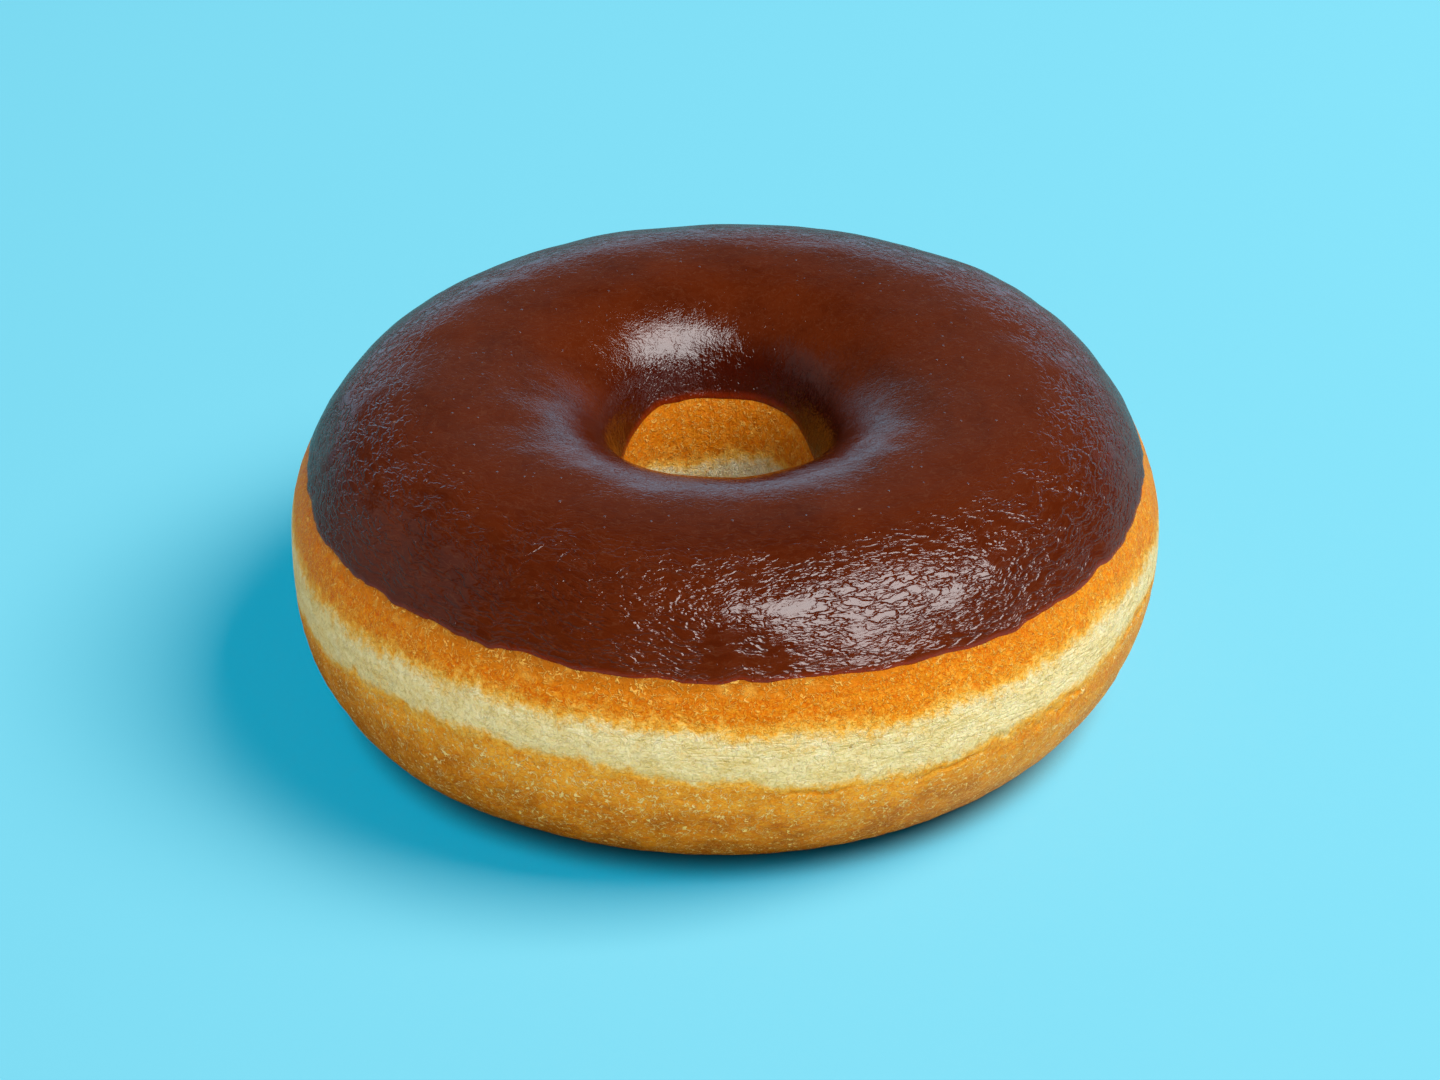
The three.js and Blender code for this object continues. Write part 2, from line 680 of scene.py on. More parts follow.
class Effects:
    """The effects that both finishes use, each a node group that is built once."""

    def __init__(self) -> None:
        """Builds the groups."""
        self.wrinkles = self._wrinkles()
        self.flecks = self._flecks()
        self.mottle = self._mottle()

    @staticmethod
    def _wrinkles() -> bpy.types.NodeTree:
        """Builds skin that has shrunk into small cells.

        Returns:
            A group that gives soft swells, and thin creases that meet and break off.
        """
        inputs = (
            Input("Place", "NodeSocketVector"),
            Input("Width", value=0.001),
            Input("Wander", value=0.5),
            Input("Crease", value=0.12),
            Input("Bare", value=0.5),
        )
        shade, given, out = new_group("wrinkles", inputs, ("Swell", "Crease"))
        place, width = given.outputs["Place"], given.outputs["Width"]
        scale = shade.math("DIVIDE", 1.0, width)
        soft = shade.add("ShaderNodeTexNoise", {"Vector": place, "Scale": scale, "Detail": 2.0, "Roughness": 0.6})
        middle = (0.5, 0.5, 0.5)
        shift = shade.add("ShaderNodeVectorMath", {0: soft.outputs["Color"], 1: middle}, operation="SUBTRACT")
        amount = shade.times(shade.times(width, given.outputs["Wander"]), 4.0)
        shift = shade.add("ShaderNodeVectorMath", {0: shift.outputs[0], "Scale": amount}, operation="SCALE")
        bent = shade.add("ShaderNodeVectorMath", {0: place, 1: shift.outputs[0]}, operation="ADD").outputs[0]
        cells = shade.add("ShaderNodeTexVoronoi", {"Vector": bent, "Scale": scale}, feature="DISTANCE_TO_EDGE")
        edge = shade.math("DIVIDE", cells.outputs["Distance"], given.outputs["Crease"])
        groove = shade.math("SUBTRACT", 1.0, shade.math("MINIMUM", edge, 1.0))
        halved = shade.times(scale, 0.45)
        patches = shade.add("ShaderNodeTexNoise", {"Vector": place, "Scale": halved, "Detail": 1.0})
        kept = shade.ramp(shade.math("SUBTRACT", patches.outputs["Fac"], given.outputs["Bare"]), -0.08, 0.1)
        shade.feed(out.inputs["Swell"], soft.outputs["Fac"])
        shade.feed(out.inputs["Crease"], shade.times(groove, kept))
        return shade.tree

    @staticmethod
    def _flecks() -> bpy.types.NodeTree:
        """Builds small scattered spots.

        Returns:
            A group that gives a mask, which is 1 in the middle of each.
        """
        inputs = (
            Input("Place", "NodeSocketVector"),
            Input("Spacing", value=0.002),
            Input("Share", value=0.3),
            Input("Radius", value=0.15),
        )
        shade, given, out = new_group("flecks", inputs, ("Mask",))
        scale = shade.math("DIVIDE", 1.0, given.outputs["Spacing"])
        cells = shade.add("ShaderNodeTexVoronoi", {"Vector": given.outputs["Place"], "Scale": scale})
        parts = shade.add("ShaderNodeSeparateColor", {"Color": cells.outputs["Color"]})
        chosen = shade.math("LESS_THAN", parts.outputs["Red"], given.outputs["Share"])
        size = shade.times(given.outputs["Radius"], shade.math("ADD", 0.4, parts.outputs["Green"]))
        spot = shade.math("SUBTRACT", 1.0, shade.math("DIVIDE", cells.outputs["Distance"], size))
        shade.feed(out.inputs["Mask"], shade.times(shade.ramp(spot, 0.0, 0.7), chosen))
        return shade.tree

    @staticmethod
    def _mottle() -> bpy.types.NodeTree:
        """Builds uneven colour.

        Returns:
            A group that gives a broad mask, a fine one, and fine threads, each from 0 to 1.
        """
        inputs = (
            Input("Place", "NodeSocketVector"),
            Input("Broad Width", value=0.008),
            Input("Fine Width", value=0.0012),
        )
        shade, given, out = new_group("mottle", inputs, ("Broad", "Fine", "Threads"))
        place = given.outputs["Place"]
        for name, detail in (("Broad", 3.0), ("Fine", 4.0)):
            scale = shade.math("DIVIDE", 1.0, given.outputs[f"{name} Width"])
            noise = shade.add(
                "ShaderNodeTexNoise",
                {"Vector": place, "Scale": scale, "Detail": detail, "Roughness": 0.6, "Distortion": 0.4},
            )
            shade.feed(out.inputs[name], shade.ramp(noise.outputs["Fac"], 0.33, 0.67))
        scale = shade.math("DIVIDE", 1.0, given.outputs["Fine Width"])
        line = shade.add("ShaderNodeTexNoise", {"Vector": place, "Scale": scale, "Detail": 1.5, "Distortion": 0.8})
        thin = shade.math("ABSOLUTE", shade.math("SUBTRACT", line.outputs["Fac"], 0.5))
        thin = shade.ramp(thin, 0.010, 0.036, 1.0, 0.0)
        elsewhere = shade.add("ShaderNodeVectorMath", {0: place, 1: (0.3, 0.1, 0.2)}, operation="ADD").outputs[0]
        patch = shade.add("ShaderNodeTexNoise", {"Vector": elsewhere, "Scale": scale, "Detail": 1.0})
        kept = shade.ramp(patch.outputs["Fac"], 0.42, 0.52)
        shade.feed(out.inputs["Threads"], shade.times(thin, kept))
        return shade.tree

    @staticmethod
    def lay(
        shade: Shade, group: bpy.types.NodeTree, place: Socket, sizes: Wrinkles | Flecks | Mottle
    ) -> tuple[Socket, ...]:
        """Puts an effect into a tree.

        Args:
            shade: the tree.
            group: the effect.
            place: where on the surface.
            sizes: the effect's sizes, in the order of the group's inputs.

        Returns:
            The effect's outputs, in their order.
        """
        inputs = dict(enumerate((place, *astuple(sizes))))
        return tuple(shade.add("ShaderNodeGroup", inputs, node_tree=group).outputs)


def new_material(name: str) -> tuple[bpy.types.Material, Shade, bpy.types.Node]:
    """A material with nothing but its surface shader.

    Args:
        name: the material's name.

    Returns:
        The material, its tree and its Principled shader.
    """
    material = bpy.data.materials.new(name)
    material.use_nodes = True
    shade = Shade(material.node_tree)
    shader = material.node_tree.nodes["Principled BSDF"]
    return material, shade, shader


@dataclass(frozen=True)
class DoughMasks:
    """The places and masks that the dough's colour and relief share."""

    place: Socket
    way: Socket
    pale: Socket
    browning: Socket
    oil_and_shade: Socket
    broad: Socket
    fine: Socket
    threads: Socket
    grain: Socket
    pores: Socket


@dataclass(frozen=True)
class FriedDoughFinish:
    """Fried yeast dough: an oily golden crust, browner underneath, and a pale, dry waist."""

    effects: Effects
    gold: Colour = (0.78, 0.275, 0.009)
    amber: Colour = (0.72, 0.225, 0.007)
    straw: Colour = (0.86, 0.41, 0.035)
    corn: Colour = (0.88, 0.42, 0.055)
    toast: Colour = (0.78, 0.30, 0.024)
    brown: Colour = (0.50, 0.17, 0.014)
    cream: Colour = (0.86, 0.79, 0.55)
    butter: Colour = (0.74, 0.58, 0.24)
    honey: Colour = (0.86, 0.50, 0.085)
    flour_and_glint: Colour = (1.0, 0.84, 0.48)
    painted_glint: Colour = (1.0, 0.62, 0.15)
    oiled_and_shaded: Colour = (0.60, 0.16, 0.003)
    painted_shade: Colour = (0.26, 0.075, 0.004)
    pore: Colour = (0.55, 0.30, 0.07)
    sheen: Colour = (1.0, 0.65, 0.20)
    softness: float = 0.1
    light_depth: float = 2.0 * MM
    mottle: Mottle = Mottle(4 * MM, 0.72 * MM)
    grain: Noise = Noise(0.45 * MM, 4.0, 0.62, 1.5)
    ragged: Noise = Noise(1.2 * MM, 6.0, 0.74)
    raggedness: float = 0.27
    blotches: Noise = Noise(2.0 * MM, 5.0, 0.68, 0.6)
    crumples: Noise = Noise(2.4 * MM, 4.0, 0.6, 0.8)
    spots: Flecks = Flecks(1.9 * MM, 0.6, 0.4)
    pores: Flecks = Flecks(2.0 * MM, 0.3, 0.1)
    wrinkles: Wrinkles = Wrinkles(1.0 * MM, 0.3, 0.2)
    folds: Wrinkles = Wrinkles(1.3 * MM, 0.4, 0.12)
    fold_squeeze: float = 0.32
    swell_height: float = 0.14 * MM
    crease_depth: float = 0.03 * MM
    thread_height: float = 0.13 * MM
    grain_height: float = 0.20 * MM
    seam_depth: float = 0.07 * MM
    crumple_height: float = 0.45 * MM
    pore_depth: float = 0.14 * MM

    def material(self) -> bpy.types.Material:
        """Makes the material.

        Returns:
            The material of the dough ring.
        """
        material, shade, shader = new_material("fried_dough")
        masks = self._masks(shade)
        shade.feed(shader.inputs["Base Color"], self._colour(shade, masks))
        rough = shade.ramp(masks.fine, 0.0, 1.0, 0.32, 0.46)
        rough = shade.math("ADD", rough, shade.times(masks.pale, 0.12))
        shade.feed(shader.inputs["Roughness"], rough)
        shade.emboss(shader, self._height(shade, masks))
        shader.inputs["Subsurface Weight"].default_value = self.softness
        shader.inputs["Subsurface Radius"].default_value = (1.0, 0.5, 0.2)
        shader.inputs["Subsurface Scale"].default_value = self.light_depth
        shader.inputs["Specular IOR Level"].default_value = 0.25
        shader.inputs["Specular Tint"].default_value = (*self.sheen, 1.0)
        return material

    def _masks(self, shade: Shade) -> DoughMasks:
        """What the colour and the relief share.

        Args:
            shade: the material's tree.

        Returns:
            The masks, from what the mesh carries and from the effects.
        """
        place = shade.add("ShaderNodeTexCoord").outputs["Object"]
        fray = shade.ramp(shade.noise(place, self.ragged), 0.25, 0.75, -self.raggedness, self.raggedness)
        broad, fine, threads = Effects.lay(shade, self.effects.mottle, place, self.mottle)
        return DoughMasks(
            place=place,
            way=shade.trait(Trait.RING_WAY),
            pale=shade.math("ADD", shade.trait(Trait.PALENESS), fray),
            browning=shade.trait(Trait.BROWNING),
            oil_and_shade=shade.trait(Trait.OIL_AND_SHADE),
            broad=broad,
            fine=fine,
            threads=threads,
            grain=shade.noise(place, self.grain),
            pores=Effects.lay(shade, self.effects.flecks, place, self.pores)[0],
        )

    def _crust(self, shade: Shade, masks: DoughMasks) -> Socket:
        """Colours the crust.

        Args:
            shade: the material's tree.
            masks: what the colour and the relief share.

        Returns:
            Gold above, brown below, deeper with oil, darker in painted shade, with threads of skin and painted
            glints.
        """
        upper = shade.mix(masks.broad, self.gold, self.amber)
        upper = shade.tint(upper, self.straw, masks.fine, 0.35)
        lower = shade.mix(shade.ramp(masks.browning, 0.3, 0.55), self.corn, self.toast)
        lower = shade.tint(lower, self.straw, masks.fine, 0.4)
        browned = shade.times(masks.broad, shade.ramp(masks.browning, 0.25, 0.6, 0.35, 0.8))
        lower = shade.mix(browned, lower, self.brown)
        lower = shade.mix(shade.ramp(masks.browning, 0.5, 1.0, 0.0, 0.6), lower, self.brown)
        crust = shade.mix(shade.ramp(masks.browning, 0.0, 0.25), upper, lower)
        # Oil stain near the glaze, then painted shade on the front-left side and in the hole, where the mask runs
        # high.
        crust = shade.mix(shade.ramp(masks.oil_and_shade, 0.0, 1.0, 0.0, 0.85), crust, self.oiled_and_shaded)
        crust = shade.mix(shade.ramp(masks.oil_and_shade, 0.75, 1.7, 0.0, 0.8), crust, self.painted_shade)
        # Painted glints: pale threads, partly dry skin, bright as if they caught the light.
        pale_threads = shade.times(masks.threads, shade.ramp(masks.browning, 0.0, 0.3, 0.6, 1.0))
        return shade.mix(pale_threads, crust, shade.mix(shade.ramp(masks.browning, 0.0, 0.3), self.painted_glint, self.flour_and_glint))

    def _colour(self, shade: Shade, masks: DoughMasks) -> Socket:
        """Colours the dough.

        Args:
            shade: the material's tree.
            masks: what the colour and the relief share.

        Returns:
            The crust and the pale waist, with grain, pores, and spots where oil and painted shade run highest.
        """
        blotch = shade.ramp(shade.noise(masks.way, self.blotches), 0.38, 0.66)
        waist = shade.tint(self.cream, self.butter, blotch, 0.55)
        colour = shade.mix(shade.ramp(masks.pale, 0.0, 0.6), self._crust(shade, masks), self.honey)
        colour = shade.mix(shade.ramp(masks.pale, 0.35, 0.95), colour, waist)
        smooth = shade.ramp(masks.oil_and_shade, 0.75, 0.85)
        (spots,) = Effects.lay(shade, self.effects.flecks, masks.place, self.spots)
        colour = shade.tint(colour, self.honey, shade.times(spots, smooth), 0.3)
        swing = shade.math("MULTIPLY_ADD", smooth, -0.8, 1.0)
        deeper = shade.math("MULTIPLY_ADD", shade.ramp(masks.grain, 0.3, 0.7, 0.42, -0.22), swing, 1.0)
        colour = shade.add("ShaderNodeGamma", {"Color": colour, "Gamma": deeper}).outputs[0]
        return shade.tint(colour, self.pore, masks.pores, 0.6)

    def _height(self, shade: Shade, masks: DoughMasks) -> Socket:
        """Shapes the skin.

        Args:
            shade: the material's tree.
            masks: what the colour and the relief share.

        Returns:
            The height of its wrinkles, threads, grain and pores, and of the seams in the waist.
        """
        swells, creases = Effects.lay(shade, self.effects.wrinkles, masks.place, self.wrinkles)
        drawn = shade.squeezed(masks.way, self.fold_squeeze)
        _, folds = Effects.lay(shade, self.effects.wrinkles, drawn, self.folds)
        crust = shade.heights(
            (swells, self.swell_height),
            (creases, -self.crease_depth),
            (masks.threads, self.thread_height),
            (masks.grain, self.grain_height),
        )
        return shade.heights(
            (crust, shade.math("SUBTRACT", 1.0, shade.times(masks.pale, 0.2))),
            (shade.times(folds, shade.ramp(masks.pale, 0.4, 0.9)), -self.seam_depth),
            (shade.noise(masks.way, self.crumples), self.crumple_height),
            (masks.pores, -self.pore_depth),
        )


@dataclass(frozen=True)
class ChocolateFinish:
    """Set chocolate glaze: deep red-brown and glossy, creased finely along the ring, with tiny bubbles."""

    effects: Effects
    cocoa: Colour = (0.104, 0.0145, 0.0024)
    umber: Colour = (0.072, 0.0092, 0.0018)
    russet: Colour = (0.125, 0.023, 0.0050)
    crumb: Colour = (0.36, 0.19, 0.10)
    thin_coat: Colour = (0.32, 0.028, 0.003)
    # Painted shade for the glaze in the hole.
    deep: Colour = (0.048, 0.0038, 0.0006)
    stretch: float = 1.8
    mottle: Mottle = Mottle(10 * MM, 0.6 * MM)
    crumbs: Flecks = Flecks(2.6 * MM, 0.25, 0.06)
    bubbles: Flecks = Flecks(0.9 * MM, 0.35, 0.14)
    wrinkles: Wrinkles = Wrinkles(0.8 * MM, 0.42, 0.17, 0.38)
    swells: Noise = Noise(2.2 * MM, 2.0, 0.5, 0.8)
    streaks: Noise = Noise(0.8 * MM, 3.0, 0.55, 0.4)
    fibres: Noise = Noise(0.28 * MM, 2.0, 0.6, 0.5)
    wrinkle_height: float = 0.06 * MM
    swell_height: float = 0.06 * MM
    streak_height: float = 0.11 * MM
    bubble_height: float = 0.08 * MM
    fibre_height: float = 0.034 * MM

    def material(self) -> bpy.types.Material:
        """Makes the material.

        Returns:
            The material of the glaze.
        """
        material, shade, shader = new_material("chocolate_glaze")
        place = shade.add("ShaderNodeTexCoord").outputs["Object"]
        way = shade.trait(Trait.RING_WAY)
        along = shade.squeezed(way, 1 / self.stretch)
        inner = shade.trait(Trait.INNER)
        broad, fine, threads = Effects.lay(shade, self.effects.mottle, along, self.mottle)
        (crumbs,) = Effects.lay(shade, self.effects.flecks, place, self.crumbs)
        colour = shade.mix(broad, self.cocoa, self.umber)
        colour = shade.tint(colour, self.russet, fine, 0.3)
        colour = shade.tint(colour, self.crumb, threads, 0.05)
        colour = shade.tint(colour, self.crumb, crumbs, 0.6)
        # Painted shade: the glaze turns nearly black into the hole.
        colour = shade.tint(colour, self.deep, inner, 0.88)
        colour = shade.tint(colour, self.thin_coat, shade.trait(Trait.THINNESS), 0.8)
        shade.feed(shader.inputs["Base Color"], colour)
        shade.feed(shader.inputs["Roughness"], shade.ramp(fine, 0.0, 1.0, 0.07, 0.15))
        shade.emboss(shader, self._height(shade, place, way, along, inner))
        shader.inputs["IOR"].default_value = 1.55
        return material

    def _height(self, shade: Shade, place: Socket, way: Socket, along: Socket, inner: Socket) -> Socket:
        """The glaze's relief.

        Args:
            shade: the material's tree.
            place: places on the surface.
            way: places that run along the ring.
            along: the same, squeezed along the ring.
            inner: how far into the hole each place is.

        Returns:
            Wrinkles on the outer shoulder, swells, streaks that ran down into the hole, bubbles and fine fibres.
        """
        shoulder = shade.ramp(shade.trait(Trait.SHOULDER), 0.0, 1.0, 0.15, 1.0)
        creased = shade.math("MULTIPLY_ADD", inner, 0.25, shoulder)
        uneven = shade.math("MULTIPLY_ADD", inner, 1.8, creased)
        cells, creases = Effects.lay(shade, self.effects.wrinkles, along, self.wrinkles)
        wrinkles = shade.heights((cells, self.wrinkle_height), (creases, -self.wrinkle_height))
        swells = shade.times(shade.noise(along, self.swells), uneven)
        down = shade.squeezed(way, 0.5, 0.2)
        streaks = shade.times(shade.noise(down, self.streaks), inner)
        (bubbles,) = Effects.lay(shade, self.effects.flecks, place, self.bubbles)
        return shade.heights(
            (wrinkles, creased),
            (swells, self.swell_height),
            (streaks, self.streak_height),
            (bubbles, self.bubble_height),
            (shade.noise(along, self.fibres), self.fibre_height),
        )


# The pieces


@dataclass
class DoughRing:
    """The fried dough ring, with its crust, its pale waist and the creases along it."""

    form: RingForm
    finish: FriedDoughFinish
    steps_round_ring: int = 576
    steps_outside: int = 156
    steps_under_glaze: int = 14
    waist_drop: float = -0.15 * MM
    waist_half_width: float = 2.6 * MM
    waist_swelling: Wave = Wave(3, 0.5 * MM, 3.3)
    hole_waist_drop: float = 2.2 * MM
    waist_waves: tuple[Wave, ...] = (Wave(4, 0.65 * MM, 1.8), Wave(3, 0.35 * MM, 0.0))
    upper_blend: float = 2.6 * MM
    upper_rise: Wave = Wave(1, 0.6 * MM, 2.4)
    # Painted shade: a wave that darkens the crust on the front-left side, away from the key light.
    left_side_shade: Wave = Wave(1, 0.64, 2.0)
    # Painted light: less browning on the right side, where the key light falls.
    painted_right_light: Wave = Wave(1, -0.22, 0.2)
    upper_fade: float = 4.6 * MM
    lower_fade: float = 3.2 * MM
    lower_drop: float = 1.4 * MM
    hole_waist_share: float = 0.8
    wander: tuple[Grain, ...] = (Grain(7 * MM, 0.55 * MM), Grain(2.6 * MM, 0.4 * MM, layers=3, shift=0.4))
    fray: tuple[Grain, ...] = (
        Grain(6 * MM, 0.7 * MM, shift=0.8),
        Grain(2.6 * MM, 0.8 * MM, layers=4, shift=0.6),
    )
    browning: tuple[Step, ...] = (
        Step(0.0, -2.5 * MM, 0.3),
        Step(-4.5 * MM, -8 * MM, 0.3),
        Step(-10 * MM, -17 * MM, 0.35),
    )
    browning_in_hole: float = 0.3
    blotches: Grain = Grain(9 * MM, 0.2, layers=3, shift=0.3)
    blotched_below: Step = Step(-3 * MM, -8 * MM)
    painted_right_light_below: Step = Step(-2 * MM, -5 * MM)
    oiled_near_glaze: Step = Step(5.5 * MM, 9 * MM)
    # Painted shade on the front-left side, above the waist.
    shaded_above: Step = Step(2 * MM, 5 * MM)
    # Painted shade: the crust darkens deeper in the hole.
    shaded_in_hole: Step = Step(-2 * MM, -6 * MM, 0.9)
    creases: tuple[tuple[float, float], ...] = ((0.5 * MM, 1.0), (1.6 * MM, 0.55))
    crease_depth: float = 0.28 * MM
    crease_width: float = 0.32 * MM
    crease_stray: Grain = Grain(3.5 * MM, 0.35 * MM, shift=0.9)
    crease_length: float = 8 * MM
    pebbles: Grain = Grain(1.9 * MM, 0.06 * MM, layers=2)
    hidden_from: float = 0.62
    hidden_to: float = math.pi - 0.5
    noise: SmoothNoise = field(default_factory=lambda: SmoothNoise(23))

    def build(self) -> bpy.types.Object:
        """Makes the ring and dresses it.

        Returns:
            The new piece.
        """
        angle, turn = self._grid()
        plain = self.form.surface(angle, turn, np.zeros_like(turn))
        climb = climb_from_waist(self.form, turn)
        in_hole = np.cos(turn) < 0
        upper, lower = self._waist_edges(angle, plain, in_hole)
        paleness = ease(0.0, self.upper_fade, upper - climb) * ease(0.0, self.lower_fade, climb - lower)
        pebbles = self.pebbles.at(self.noise, plain) * (1.0 - 0.75 * paleness)
        relief = pebbles - self._creases(angle, climb - lower, plain)
        shown = 1.0 - ease(0.0, 1.0, self._under_glaze(turn))
        points = self.form.surface(angle, turn, relief * shown)
        points[..., 2] = np.maximum(points[..., 2], 0.0)
        traits = {
            Trait.PALENESS: paleness,
            Trait.BROWNING: self._browning(angle, climb, plain, in_hole),
            Trait.RING_WAY: self.form.along(angle, climb),
            Trait.OIL_AND_SHADE: self._oil_and_shade(angle, climb, in_hole),
        }
        piece = ring_mesh("fried_dough_ring", points, traits)
        piece.data.materials.append(self.finish.material())
        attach(piece, "root")
        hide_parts(Node.DOUGH.value)
        return piece

    def _grid(self) -> tuple[Array, Array]:
        """Spaces the mesh's points.

        Returns:
            The angles and turns of a grid that is closest where the dough shows.
        """
        bare = np.linspace(self.hidden_to - FULL_TURN, self.hidden_from, 400)
        near_waist = np.exp(-((bare / 0.24) ** 2))
        outside = ease(-1.5, -0.9, bare)
        closeness = 1.0 + 1.6 * outside + 3.4 * near_waist
        shown = spaced_turns(self.form, bare[0], bare[-1], self.steps_outside, closeness)
        hidden = spaced_turns(self.form, self.hidden_from, self.hidden_to, self.steps_under_glaze)
        turns = np.concatenate([shown, hidden])
        angles = np.arange(self.steps_round_ring) / self.steps_round_ring * FULL_TURN
        return np.meshgrid(angles, turns, indexing="ij")

    def _under_glaze(self, turn: Array) -> Array:
        """How far each turn lies under the glaze: over 1 where the glaze covers it fully."""
        return np.where(np.sin(turn) > 0, (np.sin(turn) - 0.62) / 0.1, 0.0)

    def _waist_edges(self, angle: Array, plain: Array, in_hole: Array) -> tuple[Array, Array]:
        """Where the pale waist ends.

        Args:
            angle: round the ring.
            plain: the points of the smooth form.
            in_hole: whether each point is in the hole.

        Returns:
            How far up the skin from the ring's waist its upper and lower edges are.
        """
        middle = waves_at(self.waist_waves, angle) - np.where(in_hole, self.hole_waist_drop, self.waist_drop)
        half = self.waist_half_width + self.waist_swelling.at(angle)
        half = half * np.where(in_hole, self.hole_waist_share, 1.0)
        wander = sum(grain.at(self.noise, plain) for grain in self.wander)
        fray = sum(grain.at(self.noise, plain) for grain in self.fray)
        top = middle + half + self.upper_blend + self.upper_rise.at(angle) + wander
        return top, middle - half - self.lower_drop + fray

    def _creases(self, angle: Array, above_edge: Array, plain: Array) -> Array:
        """The wrinkles that the rising crumb drew along the waist's lower edge.

        Args:
            angle: round the ring.
            above_edge: how far above that edge each point is.
            plain: the points of the smooth form.

        Returns:
            How deep they are.
        """
        total = np.zeros_like(angle)
        for number, (offset, strength) in enumerate(self.creases):
            patchy = ease(-0.1, 0.5, self.noise.at(plain * (1, 1, 0.2) + 0.2 * number, self.crease_length))
            stray = self.crease_stray.at(self.noise, plain + number)
            across = (above_edge - offset - stray) / self.crease_width
            total += strength * patchy * np.exp(-(across**2))
        return self.crease_depth * total

    def _browning(self, angle: Array, climb: Array, plain: Array, in_hole: Array) -> Array:
        """How brown the crust is: most towards the bottom, and less on the right as painted light.

        Args:
            angle: round the ring.
            climb: how far up the skin from the waist.
            plain: the points of the smooth form.
            in_hole: whether each point is in the hole.

        Returns:
            From 0 to 1.
        """
        below = sum(step.at(climb) for step in self.browning)
        blotch = self.blotches.at(self.noise, plain) * self.blotched_below.at(climb)
        # Painted light: the lower crust browns less on the right, as if lit from that side.
        uneven = self.painted_right_light.at(angle) * self.painted_right_light_below.at(climb)
        return np.clip((below + blotch + uneven) * np.where(in_hole, self.browning_in_hole, 1.0), 0.0, 1.0)

    def _oil_and_shade(self, angle: Array, climb: Array, in_hole: Array) -> Array:
        """Oil stain by the glaze, plus painted shade at the front-left and in the hole: most in the hole.

        Args:
            angle: round the ring.
            climb: how far up the skin from the waist.
            in_hole: whether each point is in the hole.

        Returns:
            From 0, and 1 is a deep orange; higher values are painted shade.
        """
        left_side_shade = self.left_side_shade.at(angle)
        # Oil stain near the glaze, with painted shade added on the front-left side.
        outside = (0.3 + 0.7 * left_side_shade) * self.oiled_near_glaze.at(climb) + left_side_shade * self.shaded_above.at(climb)
        # In the hole the crust is deep orange with oil, and painted shade darkens it deeper down.
        return np.where(in_hole, 0.8 + self.shaded_in_hole.at(climb), np.maximum(outside, 0.0))


